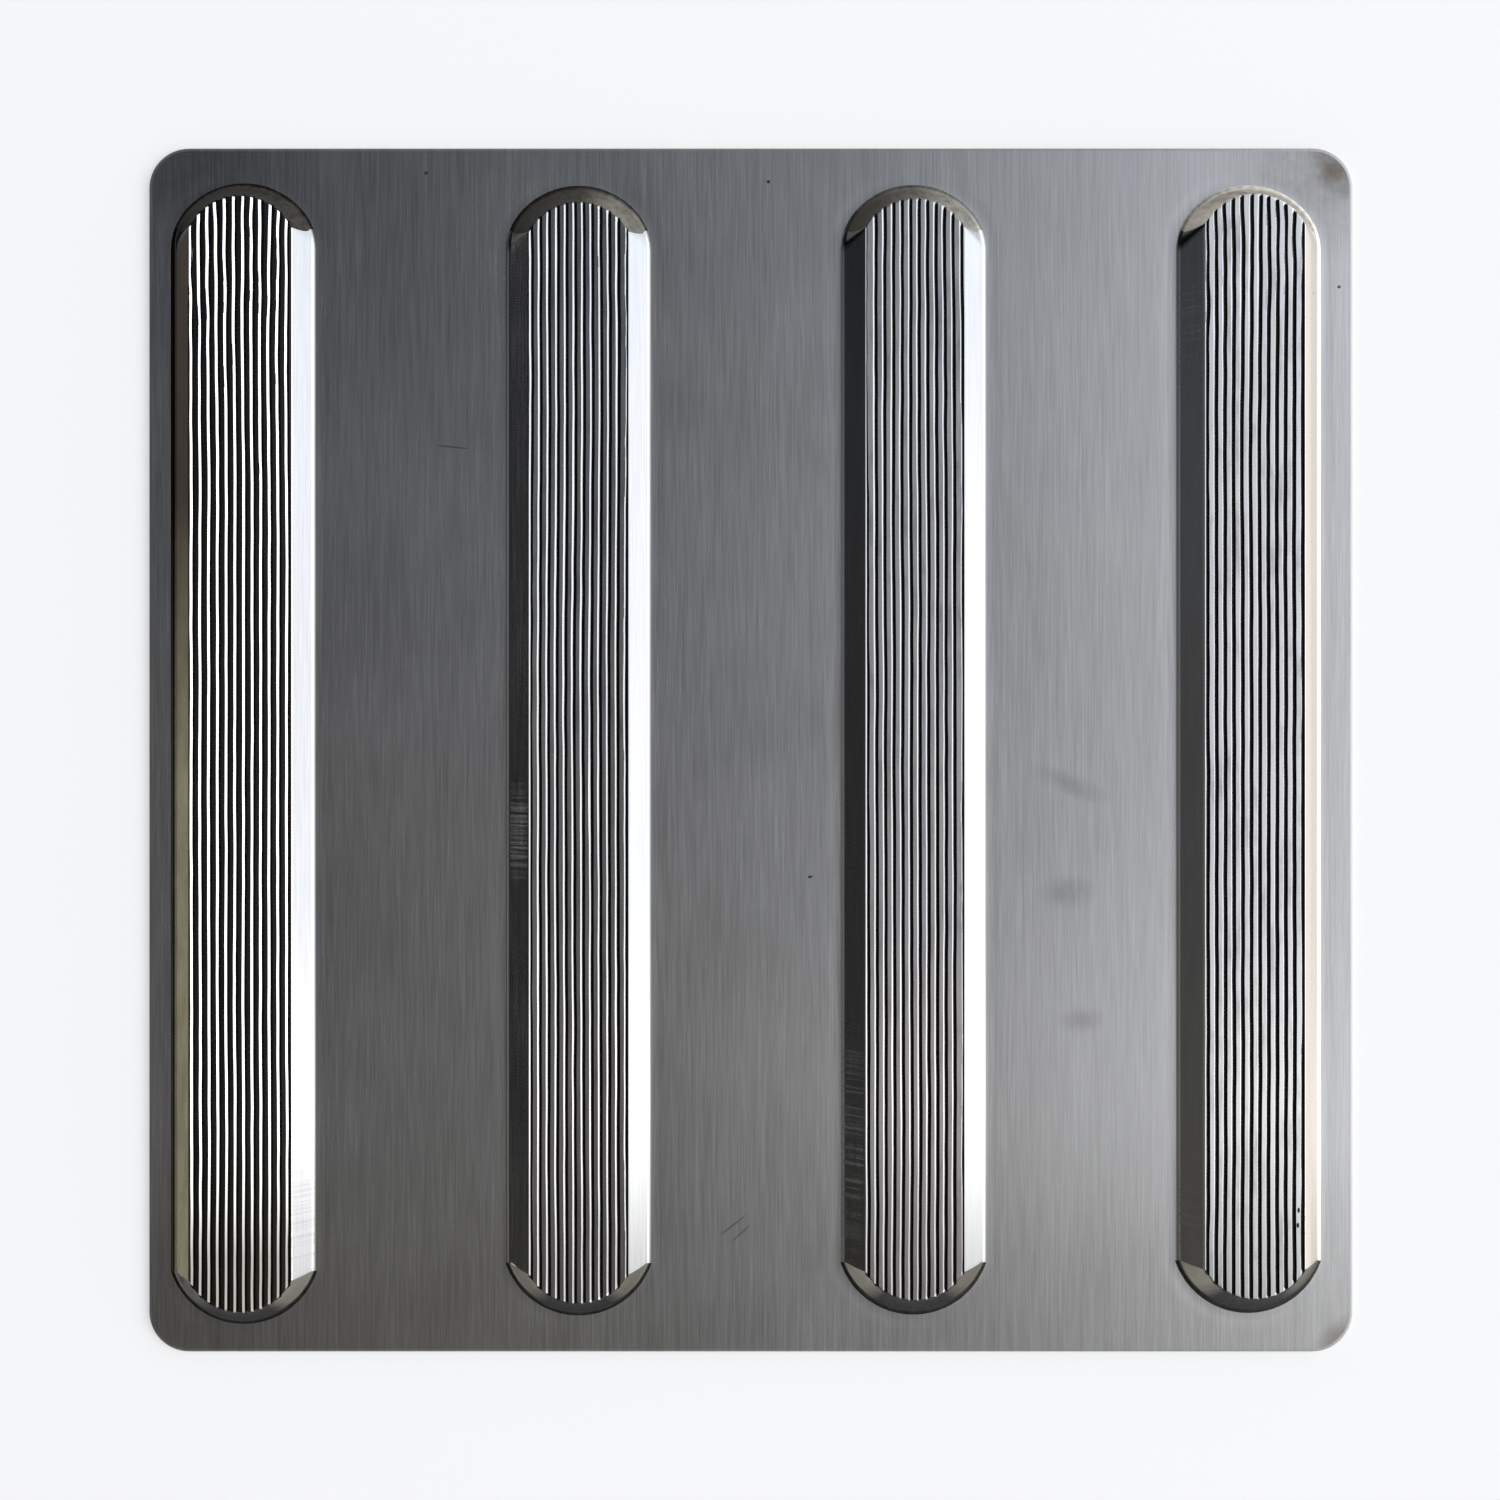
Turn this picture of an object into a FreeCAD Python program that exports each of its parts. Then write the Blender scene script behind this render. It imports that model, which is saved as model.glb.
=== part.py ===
"""Tactile paving plate: one square of stainless steel sheet with four guidance bars pressed up from it.

The bars run along Y. Each has a flat top with twelve V grooves along it, plain sloped sides, and ends
that are slices of a cone a little wider than the bar, so that they meet the sides in mitre lines.
The sheet keeps its thickness over the bars, so under each bar the plate has an open channel.
The origin is at the middle of the underside, which is the face that lies on the ground.
All sizes are in millimetres.
"""

import FreeCAD
import Part

import math
import os

# The sheet
PLATE_WIDTH = 300.0  # along X, across the bars
PLATE_LENGTH = 300.0  # along Y, along the bars
SHEET_THICKNESS = 2.0
CORNER_RADIUS = 10.0
RIM_CHAMFER = 0.3  # the softened upper edge of the cut sheet

# Where the bars stand, measured from the sheet's edges to the foot of a bar
BAR_COUNT = 4
LEFT_MARGIN = 6.2
RIGHT_MARGIN = 8.6
END_MARGIN = 9.75

# The bars, measured between sharp corners, as if the bends were not rounded
BAR_BASE_WIDTH = 35.0
BAR_TOP_WIDTH = 25.0
BAR_HEIGHT = 4.0  # above the sheet
END_FOOT_OVERSIZE = 0.9  # how much the end cone's radius exceeds half of the bar's width at the foot
END_TOP_OVERSIZE = 1.7  # the same at the top
FOOT_RADIUS = 2.0  # the bend from sheet to bar, on the walking side

# The anti-slip grooves, spread evenly over the top of each bar
GROOVE_COUNT = 12
GROOVE_WIDTH = 1.25
GROOVE_DEPTH = 0.35
GROOVE_LIP = 0.13  # flat left between the outermost groove and the edge of the top

CUT_MARGIN = 1.0  # how far a cutting shape reaches past the metal that it cuts

# Derived sizes
CREST = SHEET_THICKNESS + BAR_HEIGHT
BAR_LENGTH = PLATE_LENGTH - 2 * END_MARGIN
BAR_PITCH = (PLATE_WIDTH - LEFT_MARGIN - RIGHT_MARGIN - BAR_BASE_WIDTH) / (BAR_COUNT - 1)
FIRST_BAR_X = LEFT_MARGIN + BAR_BASE_WIDTH / 2 - PLATE_WIDTH / 2
END_FOOT_RADIUS = BAR_BASE_WIDTH / 2 + END_FOOT_OVERSIZE
END_TOP_RADIUS = BAR_TOP_WIDTH / 2 + END_TOP_OVERSIZE
END_AXIS_Y = BAR_LENGTH / 2 - END_FOOT_RADIUS
GROOVE_PITCH = (BAR_TOP_WIDTH - 2 * GROOVE_LIP - GROOVE_WIDTH) / (GROOVE_COUNT - 1)


def half_section(foot, top, bend, level, floor, ceiling):
    """Half of a bar's section in the XZ plane, from its middle to its wall, as a face.

    The wall slopes from x = foot at the height level to x = top one bar height above it. A bend of the given
    radius joins it to the level plane, and the section is cut off square at floor and ceiling.
    """
    run = foot - top
    turn = math.atan2(BAR_HEIGHT, run)
    setback = bend * math.tan(turn / 2)  # from the sharp foot to either end of the bend
    bend_start = FreeCAD.Vector(foot + setback, 0, level)
    bend_middle = bend_start + FreeCAD.Vector(-bend * math.sin(turn / 2), 0, bend * (1 - math.cos(turn / 2)))
    bend_end = FreeCAD.Vector(foot - setback * math.cos(turn), 0, level + setback * math.sin(turn))
    corners = [
        bend_end,
        FreeCAD.Vector(foot - run * (ceiling - level) / BAR_HEIGHT, 0, ceiling),
        FreeCAD.Vector(0, 0, ceiling),
        FreeCAD.Vector(0, 0, floor),
        FreeCAD.Vector(bend_start.x, 0, floor),
    ]
    if floor < level:
        corners.append(bend_start)
    edges = [Part.makeLine(start, end) for start, end in zip(corners, corners[1:])]
    edges.append(Part.Arc(bend_start, bend_middle, bend_end).toShape())
    return Part.Face(Part.Wire(Part.__sortEdges__(edges)))


def ridge(section, half_length):
    """The half section and its mirror image, drawn out along Y about Y = 0."""
    start = section.translated(FreeCAD.Vector(0, -half_length, 0))
    half = start.extrude(FreeCAD.Vector(0, 2 * half_length, 0))
    other_half = half.mirror(FreeCAD.Vector(0, 0, 0), FreeCAD.Vector(1, 0, 0))
    return half.fuse(other_half).removeSplitter()


def bar_form(inset, bend, level, floor, ceiling):
    """The form of a bar with its bend into the level plane and its walls moved inwards by inset.

    The straight sides are cut off by round ends, which are the same kind of section turned about an upright axis.
    """

    def section(foot, top):
        lean = (foot - top) / BAR_HEIGHT
        shift = lean * (SHEET_THICKNESS - level) - inset * math.hypot(lean, 1)
        return half_section(foot + shift, top + shift, bend, level, floor, ceiling)

    sides = ridge(section(BAR_BASE_WIDTH / 2, BAR_TOP_WIDTH / 2), BAR_LENGTH)
    end_section = section(END_FOOT_RADIUS, END_TOP_RADIUS)
    envelope = ridge(end_section, END_AXIS_Y)
    for direction in (1, -1):
        turned = end_section.revolve(FreeCAD.Vector(0, 0, 0), FreeCAD.Vector(0, 0, 1), 180 * direction)
        envelope = envelope.fuse(turned.translated(FreeCAD.Vector(0, direction * END_AXIS_Y, 0)))
    return sides.common(envelope.removeSplitter())


def bar_solid():
    """A bar as it stands on the sheet, rooted in the sheet's thickness."""
    return bar_form(0.0, FOOT_RADIUS, SHEET_THICKNESS, 0.0, CREST)


def channel_solid():
    """The hollow under a bar, which follows the bar at the sheet's thickness."""
    mouth_radius = FOOT_RADIUS + SHEET_THICKNESS
    return bar_form(SHEET_THICKNESS, mouth_radius, 0.0, -CUT_MARGIN, BAR_HEIGHT)


def groove_tools():
    """The V grooves of one bar, side by side across its top and open at both ends."""
    spread = (GROOVE_DEPTH + CUT_MARGIN) / GROOVE_DEPTH
    half = GROOVE_WIDTH / 2 * spread
    start = -BAR_LENGTH / 2
    tools = []
    for number in range(GROOVE_COUNT):
        x = GROOVE_PITCH * (number - (GROOVE_COUNT - 1) / 2)
        bottom = FreeCAD.Vector(x, start, CREST - GROOVE_DEPTH)
        right = FreeCAD.Vector(x + half, start, CREST + CUT_MARGIN)
        left = FreeCAD.Vector(x - half, start, CREST + CUT_MARGIN)
        face = Part.Face(Part.makePolygon([bottom, right, left, bottom]))
        tools.append(face.extrude(FreeCAD.Vector(0, BAR_LENGTH, 0)))
    return tools


def at_each_bar(shapes):
    """Copies of the shapes at every bar's place."""
    places = [FreeCAD.Vector(FIRST_BAR_X + BAR_PITCH * number, 0, 0) for number in range(BAR_COUNT)]
    return [shape.translated(place) for place in places for shape in shapes]


def sheet_blank():
    """The flat sheet with its rounded corners and softened upper edge."""
    corner = FreeCAD.Vector(-PLATE_WIDTH / 2, -PLATE_LENGTH / 2, 0)
    blank = Part.makeBox(PLATE_WIDTH, PLATE_LENGTH, SHEET_THICKNESS, corner)
    upright = [edge for edge in blank.Edges if abs(edge.tangentAt(edge.FirstParameter).z) > 0.99]
    blank = blank.makeFillet(CORNER_RADIUS, upright)
    upper_face = max(blank.Faces, key=lambda face: face.CenterOfMass.z)
    return blank.makeChamfer(RIM_CHAMFER, upper_face.Edges)


def pressed_plate():
    """The sheet with its bars pressed up, hollow below, and grooved along the top."""
    plate = sheet_blank().fuse(at_each_bar([bar_solid()])).removeSplitter()
    return plate.cut(at_each_bar([channel_solid()] + groove_tools()))


def main():
    os.makedirs("parts", exist_ok=True)
    plate = pressed_plate()
    plate.exportStep("parts/tactile_plate.step")
    box = plate.optimalBoundingBox()
    print(f"tactile_plate: {len(plate.Solids)} solid, valid {plate.isValid()}, {len(plate.Faces)} faces")
    print(f"size {box.XLength:.2f} x {box.YLength:.2f} x {box.ZLength:.2f} mm, volume {plate.Volume:.0f} mm3")


main()
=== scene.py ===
# %% [markdown]
# # A tactile paving plate of pressed stainless steel
# The real object is one square of stainless sheet. A press has raised four long bars from it, so a foot or
# a cane can follow them. Nothing is screwed or welded on, so the whole plate is modelled as one closed skin:
# a walking side with the bars, a cut edge all round, and an underside that is hollow below every bar.
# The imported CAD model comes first. It fixes the place and the size of everything, and it is never edited.

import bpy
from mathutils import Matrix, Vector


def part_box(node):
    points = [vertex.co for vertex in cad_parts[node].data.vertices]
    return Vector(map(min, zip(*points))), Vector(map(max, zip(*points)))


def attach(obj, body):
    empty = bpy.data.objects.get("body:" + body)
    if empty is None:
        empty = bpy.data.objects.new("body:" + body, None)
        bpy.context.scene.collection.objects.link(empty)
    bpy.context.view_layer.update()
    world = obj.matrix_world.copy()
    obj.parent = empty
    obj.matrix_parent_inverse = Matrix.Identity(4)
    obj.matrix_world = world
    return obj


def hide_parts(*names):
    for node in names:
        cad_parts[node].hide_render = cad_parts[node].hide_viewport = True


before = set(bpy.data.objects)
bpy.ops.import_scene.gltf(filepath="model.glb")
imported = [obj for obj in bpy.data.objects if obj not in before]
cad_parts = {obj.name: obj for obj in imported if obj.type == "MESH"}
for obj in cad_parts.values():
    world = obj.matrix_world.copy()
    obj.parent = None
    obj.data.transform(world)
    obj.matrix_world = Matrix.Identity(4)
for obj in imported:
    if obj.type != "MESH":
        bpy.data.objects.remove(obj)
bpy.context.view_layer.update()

# %% [markdown]
# ## Sizes
# Blender works in metres here. The sizes are those of the CAD model, in millimetres times MM, so they can be
# read as a maker would say them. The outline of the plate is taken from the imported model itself.

# %% Sizes of the sheet and the bars
import collections
import math

import bmesh
import bpy
from mathutils import Vector, noise

MM = 0.001
plate_low, plate_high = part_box("tactile_plate")
plate_width = plate_high.x - plate_low.x
CREST = plate_high.z  # level of the bars' flat tops
SHEET = 2.0 * MM  # thickness, and so the level of the walking side between the bars
CORNER_RADIUS = 10.0 * MM
BAR_HEIGHT = CREST - SHEET
print(f"sheet {plate_width / MM:.1f} mm wide, bars {BAR_HEIGHT / MM:.1f} mm high")

# %% [markdown]
# ## The walls of a bar
# Seen in section, a bar's wall is a straight slope with a bend at the foot, where it runs into the sheet, and
# a tight brow at the top. The long sides and the round ends have nearly the same section: along a side it is
# drawn out straight, and at an end it turns about an upright axis. So one function is enough. It says how far
# out from the middle line, or from the axis, the wall stands at a level z.
# The inner skin is the same wall one sheet thickness further in, with wider bends.

# %% How far out a wall stands at a level
Wall = collections.namedtuple("Wall", "foot top level bend")
BROW = 0.3 * MM  # radius of the edge between the flat top and the slope


def reach(wall, z):
    """Distance of the wall from its middle line or axis at level z."""
    run = wall.foot - wall.top
    turn = math.atan2(BAR_HEIGHT, run)
    crest = wall.level + BAR_HEIGHT
    if z < wall.level + wall.bend * (1 - math.cos(turn)):
        middle = wall.foot + wall.bend * math.tan(turn / 2)
        return middle - math.sqrt(max(0.0, wall.bend ** 2 - (wall.level + wall.bend - z) ** 2))
    if z > crest - BROW * (1 - math.cos(turn)):
        middle = wall.top - BROW * math.tan(turn / 2)
        return middle + math.sqrt(max(0.0, BROW ** 2 - (z - crest + BROW) ** 2))
    return wall.foot - run * (z - wall.level) / BAR_HEIGHT


def inner(wall):
    """The wall's inner skin, one sheet thickness away from it, which bends into the underside."""
    lean = (wall.foot - wall.top) / BAR_HEIGHT
    shift = lean * SHEET - SHEET * math.hypot(lean, 1)
    return Wall(wall.foot + shift, wall.top + shift, wall.level - SHEET, wall.bend + SHEET)


SIDE = Wall(foot=17.5 * MM, top=12.5 * MM, level=SHEET, bend=2.0 * MM)
END = Wall(foot=18.4 * MM, top=14.2 * MM, level=SHEET, bend=2.0 * MM)
print("a side wall's top and foot in mm:", [round(reach(SIDE, level) / MM, 3) for level in (CREST, SHEET)])

# %% [markdown]
# ## Four bars that are not quite alike
# The CAD model gives every bar the same size. In the photograph the bars differ by up to a millimetre, as
# pressed work does: a top sits a little to one side, an end is pulled out a little further. Each bar keeps
# the CAD's walls, and a short table moves its foot and its top by what the photograph shows.

# %% What sets each bar apart
Bar = collections.namedtuple("Bar", "x lean widen feet tops heel unrest")
BARS = [
    # In mm: the middle, the shift of the top, the extra half width, and how far the ends' feet and tops
    # reach (-Y, +Y). Then where the grooves' bottoms start, in half widths, and how much more the grooves
    # wander at the +Y end.
    Bar(-126.3, 0.35, 0.20, (143.0, 141.2), (138.6, 136.6), -0.2, 4.0),
    Bar(-42.9, 0.45, -0.15, (140.9, 140.6), (136.4, 134.9), -0.25, 0.6),
    Bar(40.5, 0.01, -0.22, (140.7, 140.8), (135.6, 135.8), -0.15, 0.8),
    Bar(123.9, 0.47, -0.08, (140.3, 140.7), (135.3, 137.0), -0.08, 3.6),
]
Form = collections.namedtuple("Form", "side end lean axes pulls")


def bar_form(bar):
    """The walls of one bar's outer skin, with its ends' axes and how far each end's top is pulled out."""
    side = SIDE._replace(top=SIDE.top + bar.widen * MM)
    axes = [foot * MM - reach(END, SHEET) for foot in bar.feet]
    pulls = [top * MM - reach(END, CREST) - axis for top, axis in zip(bar.tops, axes)]
    return Form(side, END, bar.lean * MM, axes, pulls)


def hollow_form(form):
    """The same bar seen from below: its inner skin."""
    return form._replace(side=inner(form.side), end=inner(form.end))


print("how far the ends' tops are pulled out, mm:",
      [[round(pull / MM, 2) for pull in bar_form(bar).pulls] for bar in BARS])

# %% [markdown]
# ## The grooves
# Twelve shallow V grooves run along each flat top, for grip. On the real plate they aren't ruler straight: a
# knurling roller left them wandering by a tenth or two of a millimetre, and the whole pattern drifts a little
# across the bar on its way. Noise with a fixed place in space gives that wander, the same in every run.
# A groove has a soft lip on both sides and a narrow bottom. The bottom and the wall that faces -X are given a
# near-black finish, which is painted shade. A groove that comes near the brow gets shallower, as there is no
# metal left for it.

# %% Where the grooves are across a bar
GROOVES = 12
GROOVE_PITCH = 2.136 * MM
GROOVE_HALF = 0.62 * MM
GROOVE_DEPTH = 0.35 * MM
LEFT_LIP = ((-0.94, 0.0), (-0.82, 0.13))  # across in half widths, and down in depths
RIGHT_LIP = ((0.84, 0.13), (0.96, 0.0))
BOTTOM = 0.34  # width of a groove's bottom, in half widths
LEAST_HALF = 0.05 * MM  # a groove never gets narrower than this
DRIFT = 0.42 * MM  # how far the pattern as a whole drifts
DRIFT_LENGTH = 110 * MM
WANDER = 0.16 * MM  # how far a single groove wanders
WANDER_LENGTH = 32 * MM
RIPPLE = 0.55  # a shorter wander on top of it, as a share of it
RIPPLE_LENGTH = 8 * MM
SWELL = 0.12  # how much a groove gets wider and narrower, as a share of its width
SWELL_LENGTH = 25 * MM
END_REACH = 140 * MM  # at this Y the +Y end's unrest is complete
END_RISE = 5  # and it rises with this power of Y


def wave(place, length, seed):
    """Smooth noise from -1 to 1 that changes over the given length."""
    return noise.noise(Vector((place / length, seed, 0.37)))


def groove_stations(bar, edge, y):
    """Pairs of x and depth across the top of a bar at y, from one brow to the other.

    The last number given to wave is only a seed. It differs from bar to bar, and a little from groove to
    groove.
    """
    drift = DRIFT * wave(y, DRIFT_LENGTH, 3.1 * bar + 0.5)
    unrest = 1 + BARS[bar].unrest * max(0.0, y / END_REACH) ** END_RISE
    heel = BARS[bar].heel
    section = (*LEFT_LIP, (heel, 1.0), (heel + BOTTOM, 1.0), *RIGHT_LIP)
    stations = [(-edge, 0.0)]
    for number in range(GROOVES):
        wander = wave(y, WANDER_LENGTH, 7.7 * bar + 0.21 * number)
        wander += RIPPLE * wave(y, RIPPLE_LENGTH, 50 + 9.3 * bar + 0.6 * number)
        middle = GROOVE_PITCH * (number - (GROOVES - 1) / 2) + drift + WANDER * unrest * wander
        swell = SWELL * unrest * wave(y, SWELL_LENGTH, 90 + 4.3 * bar + 0.37 * number)
        half = GROOVE_HALF * (1 + swell)
        room = max(LEAST_HALF, min(half, edge - abs(middle)))
        middle = max(room - edge, min(edge - room, middle))
        depth = GROOVE_DEPTH * min(1.0, room / GROOVE_HALF)
        stations += [(middle + place * room, part * depth) for place, part in section]
    return stations + [(edge, 0.0)]


print("stations across a bar:", len(groove_stations(0, SIDE.top, 0.0)))

# %% [markdown]
# ## Raising one bar
# A bar starts as a flat grid, which is its top. The grid's columns are moved onto the grooves' edges and
# bottoms, and its rows are stretched to the round ends. Then the grid's rim is extruded again and again, and
# each new ring is set onto the walls one level lower, as if the press drew the metal down. Where a side meets
# a round end the ring has a corner, so the mitre line of the real bar appears by itself.
# Each vertex remembers where it belongs on the ring in three layers, which an extrusion copies to its new
# vertex.

# %% A point on the walls of a bar
def lift(form, z):
    """How high z is on the bar, from 0 at the foot to 1 at the top."""
    return (z - form.side.level) / BAR_HEIGHT


# Rounding of the mitres at the brow and at the foot: the -Y end is crisp, and the +Y end is worn round
MITRES = ((0.3 * MM, 1.0 * MM), (1.2 * MM, 15.0 * MM))


def ring_point(form, across, along, z, out=0.0):
    """A point on the walls at level z, moved outwards by out; across and along run from -1 to 1.

    Along is -1 or 1 everywhere on a round end, and across is -1 or 1 everywhere on a long side. Where the two
    meet, an arc that touches both rounds the mitre.
    """
    half = reach(form.side, max(z, form.side.level)) + out
    radius = reach(form.end, max(z, form.side.level)) + out
    corner = math.asin(half / radius)
    which = 1 if along > 0 else 0
    axis = form.axes[which] + form.pulls[which] * lift(form, z)
    at_brow, at_foot = MITRES[which]
    rounding = at_foot + (at_brow - at_foot) * max(0.0, lift(form, z))
    middle_x = half - rounding  # the middle of the mitre's arc
    start = math.asin(middle_x / (radius - rounding))  # where the round end gives way to the arc
    middle_y = axis + (radius - rounding) * math.cos(start)
    edge_y = axis + radius * math.cos(corner)  # where the mitre would be if it were sharp
    halfway = (start + math.pi / 2) / 2  # the point of the arc that the end and the side share
    if abs(along) == 1.0:
        angle = abs(across) * corner
        if angle <= start:
            x, y = radius * math.sin(angle), axis + radius * math.cos(angle)
        else:
            turn = start + (halfway - start) * (angle - start) / (corner - start)
            x, y = middle_x + rounding * math.sin(turn), middle_y + rounding * math.cos(turn)
    else:
        x, y = half, abs(along) * edge_y
        if y > middle_y:
            turn = math.pi / 2 - (math.pi / 2 - halfway) * (y - middle_y) / (edge_y - middle_y)
            x, y = middle_x + rounding * math.sin(turn), middle_y + rounding * math.cos(turn)
    return math.copysign(x, across) + form.lean * lift(form, z), math.copysign(y, along)


print("the bar's flank at its middle, in mm:",
      [round(ring_point(bar_form(BARS[1]), 1.0, 0.0, level)[0] / MM, 2) for level in (CREST, SHEET)])

# %% The top of a bar
CLOSE_ROWS = (0.0, 0.5, 1.0, 1.6, 2.3, 3.2, 4.3)  # mm from a mitre
MITRE_REACH = 128.0  # mm from the middle of a bar to its mitres
MIDDLE_ROWS = 50  # even rows in each half between them


def row_places():
    """Where the rows of a bar lie along it, from -1 to 1: even in the middle, closer near the ends."""
    half = [1.0 - step / MITRE_REACH for step in CLOSE_ROWS]
    rest = [half[-1] * number / MIDDLE_ROWS for number in range(MIDDLE_ROWS)]
    positive = sorted(half + rest[1:])
    return [-place for place in reversed(positive)] + [0.0] + positive


def top_grid(bm, layers, form, stations_at):
    """The flat top of one bar about x = 0, as a grid whose columns follow stations_at(y)."""
    rows = row_places()
    columns = len(stations_at(0.0))
    crest = form.side.level + BAR_HEIGHT
    radius = reach(form.end, crest)
    corner = math.asin(reach(form.side, crest) / radius)
    made = bmesh.ops.create_grid(bm, x_segments=columns - 1, y_segments=len(rows) - 1, size=1.0)["verts"]
    cache = {}
    for vert in made:
        column = round((vert.co.x + 1) / 2 * (columns - 1))
        along = rows[round((vert.co.y + 1) / 2 * (len(rows) - 1))]
        which = 1 if along > 0 else 0
        axis = form.axes[which] + form.pulls[which]
        if along not in cache:
            cache[along] = stations_at(along * (axis + radius))
        x, depth = cache[along][column]
        vert[layers["across"]] = math.asin(x / radius) / corner
        if column in (0, columns - 1):
            vert[layers["across"]] = math.copysign(1.0, x)
        vert[layers["along"]] = along
        vert[layers["depth"]] = depth
        vert.co = (x + form.lean, along * (axis + math.sqrt(radius ** 2 - x ** 2)), crest - depth)
    return made


print("rows along a bar:", len(row_places()))


# %% One more ring down the walls
def draw_down(bm, layers, form, ring, z, out):
    """Extrudes the ring of edges and sets the new ring on the walls at level z. Returns the new ring."""
    crest = form.side.level + BAR_HEIGHT
    made = bmesh.ops.extrude_edge_only(bm, edges=ring)["geom"]
    verts = {item for item in made if isinstance(item, bmesh.types.BMVert)}
    for vert in verts:
        level = min(z, crest - vert[layers["depth"]])
        vert.co = (*ring_point(form, vert[layers["across"]], vert[layers["along"]], level, out), level)
    return list({edge for vert in verts for edge in vert.link_edges if edge.other_vert(vert) in verts})


# %% [markdown]
# ## Regions of the skin
# One sheet has several finishes: brushed flats, flanks that the die has polished, round ends where the metal
# was stretched dull, with painted highlights and painted shade, burnished lands between the grooves, the
# grooves' walls, a near-black finish of painted shade for the grooves' bottoms and their walls that face -X,
# a plain mill finish below and a sheared edge. Each is a material slot, and each step of the modelling gives
# its new faces the slot they belong to.

# %% Slots, rings and one whole bar skin
# The last slot is painted shade: a near-black finish for the grooves' bottoms and their walls that face -X.
FLAT, FLANK, LAND, GROOVE, UNDERSIDE, EDGE, DRAWN_END, GROOVE_SHADE = range(8)
BEND_STEPS = (0.552, 0.438, 0.33, 0.22, 0.13, 0.06, 0.017, 0.0)  # levels above the sheet, mm
SLOPE_STEPS = (5.98, 5.93, 5.6, 4.8, 4.0, 3.2)  # levels on the slope, mm
# Rings round the foot, in mm: how far out they are, and how deep the sheet dips there
SKIRT_STEPS = ((0.5, 0.012), (1.2, 0.028), (2.2, 0.018), (3.4, 0.0), (4.3, 0.0))
DEEPER = 0.8  # the left edge of a groove's wall that faces +X is at most this share as deep as its right edge


def bar_skin(bm, layers, form, stations_at, levels, skirts, slots):
    """A bar's top, walls and the flat rings round its foot, about x = 0.

    Returns the outermost ring of edges and all of the bar's vertices.
    """
    land, wall, shaded_groove, flank, round_end, flat = slots
    before = set(bm.faces)
    top = top_grid(bm, layers, form, stations_at)
    for face in set(bm.faces) - before:
        depths = [vert[layers["depth"]] for vert in sorted(face.verts, key=lambda vert: vert.co.x)]
        # Walls that slope down towards +X keep the bright rolled finish. A groove's bottom and its wall that
        # faces -X get the near-black finish, which is painted shade.
        polished = depths[0] + depths[1] < DEEPER * (depths[2] + depths[3])
        face.material_index = land if max(depths) == 0.0 else wall if polished else shaded_groove
    ring = list({edge for vert in top for edge in vert.link_edges if edge.is_boundary})
    steps = [(level, 0.0) for level in levels] + [(form.side.level - dip, out) for out, dip in skirts]
    for level, out in steps:
        older = set(bm.faces)
        ring = draw_down(bm, layers, form, ring, level, out)
        for face in set(bm.faces) - older:
            at_end = all(abs(vert[layers["along"]]) == 1.0 for vert in face.verts)
            face.material_index = flat if out else round_end if at_end else flank
    return ring, list({vert for face in set(bm.faces) - before for vert in face.verts})


# %% [markdown]
# ## The sheet
# The sheet is cut first. A flat square gets its corners rounded by a bevel of its corner points, is extruded
# to the sheet's thickness, and its upper and lower rims are softened, as deburring leaves them. The two large
# faces are then opened, and their rims stay to be joined to the bars.

# %% Cut the blank
bm = bmesh.new()
layers = {name: bm.verts.layers.float.new(name) for name in ("across", "along", "depth")}
RIM_SOFTNESS = 0.3 * MM
RIM_INSET = 0.5 * MM

blank = bmesh.ops.create_grid(bm, x_segments=1, y_segments=1, size=plate_width / 2)["verts"]
bmesh.ops.bevel(bm, geom=blank, offset=CORNER_RADIUS, offset_type="OFFSET", affect="VERTICES", segments=14,
                profile=0.5, material=-1, clamp_overlap=False)
upright = bmesh.ops.extrude_face_region(bm, geom=list(bm.faces))["geom"]
raised = [item for item in upright if isinstance(item, bmesh.types.BMVert)]
bmesh.ops.translate(bm, vec=(0, 0, SHEET), verts=raised)
bmesh.ops.recalc_face_normals(bm, faces=list(bm.faces))
rims = [edge for edge in bm.edges if edge.verts[0].co.z == edge.verts[1].co.z]
bmesh.ops.bevel(bm, geom=rims, offset=RIM_SOFTNESS, offset_type="OFFSET", affect="EDGES", segments=3,
                profile=0.5, material=-1, clamp_overlap=True)
for face in bm.faces:
    face.material_index = EDGE
large = sorted(bm.faces, key=lambda face: face.calc_area())[-2:]
bmesh.ops.inset_region(bm, faces=large, thickness=RIM_INSET, use_even_offset=True, use_boundary=True)
rim_loops = {}
for face in large:
    rim_loops["above" if face.calc_center_median().z > SHEET / 2 else "below"] = list(face.edges)
bmesh.ops.delete(bm, geom=large, context="FACES_ONLY")
print("blank faces:", len(bm.faces), "rim edges:", {name: len(edges) for name, edges in rim_loops.items()})

# %% [markdown]
# ## Pressing the bars
# Each bar is raised twice: once as the outer skin with its grooves, and once as the plain inner skin that
# forms the hollow underneath. Both are moved to the bar's place. Last, each side of the sheet is filled
# between its rim and the bars' outermost rings, which makes the skin whole.

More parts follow.
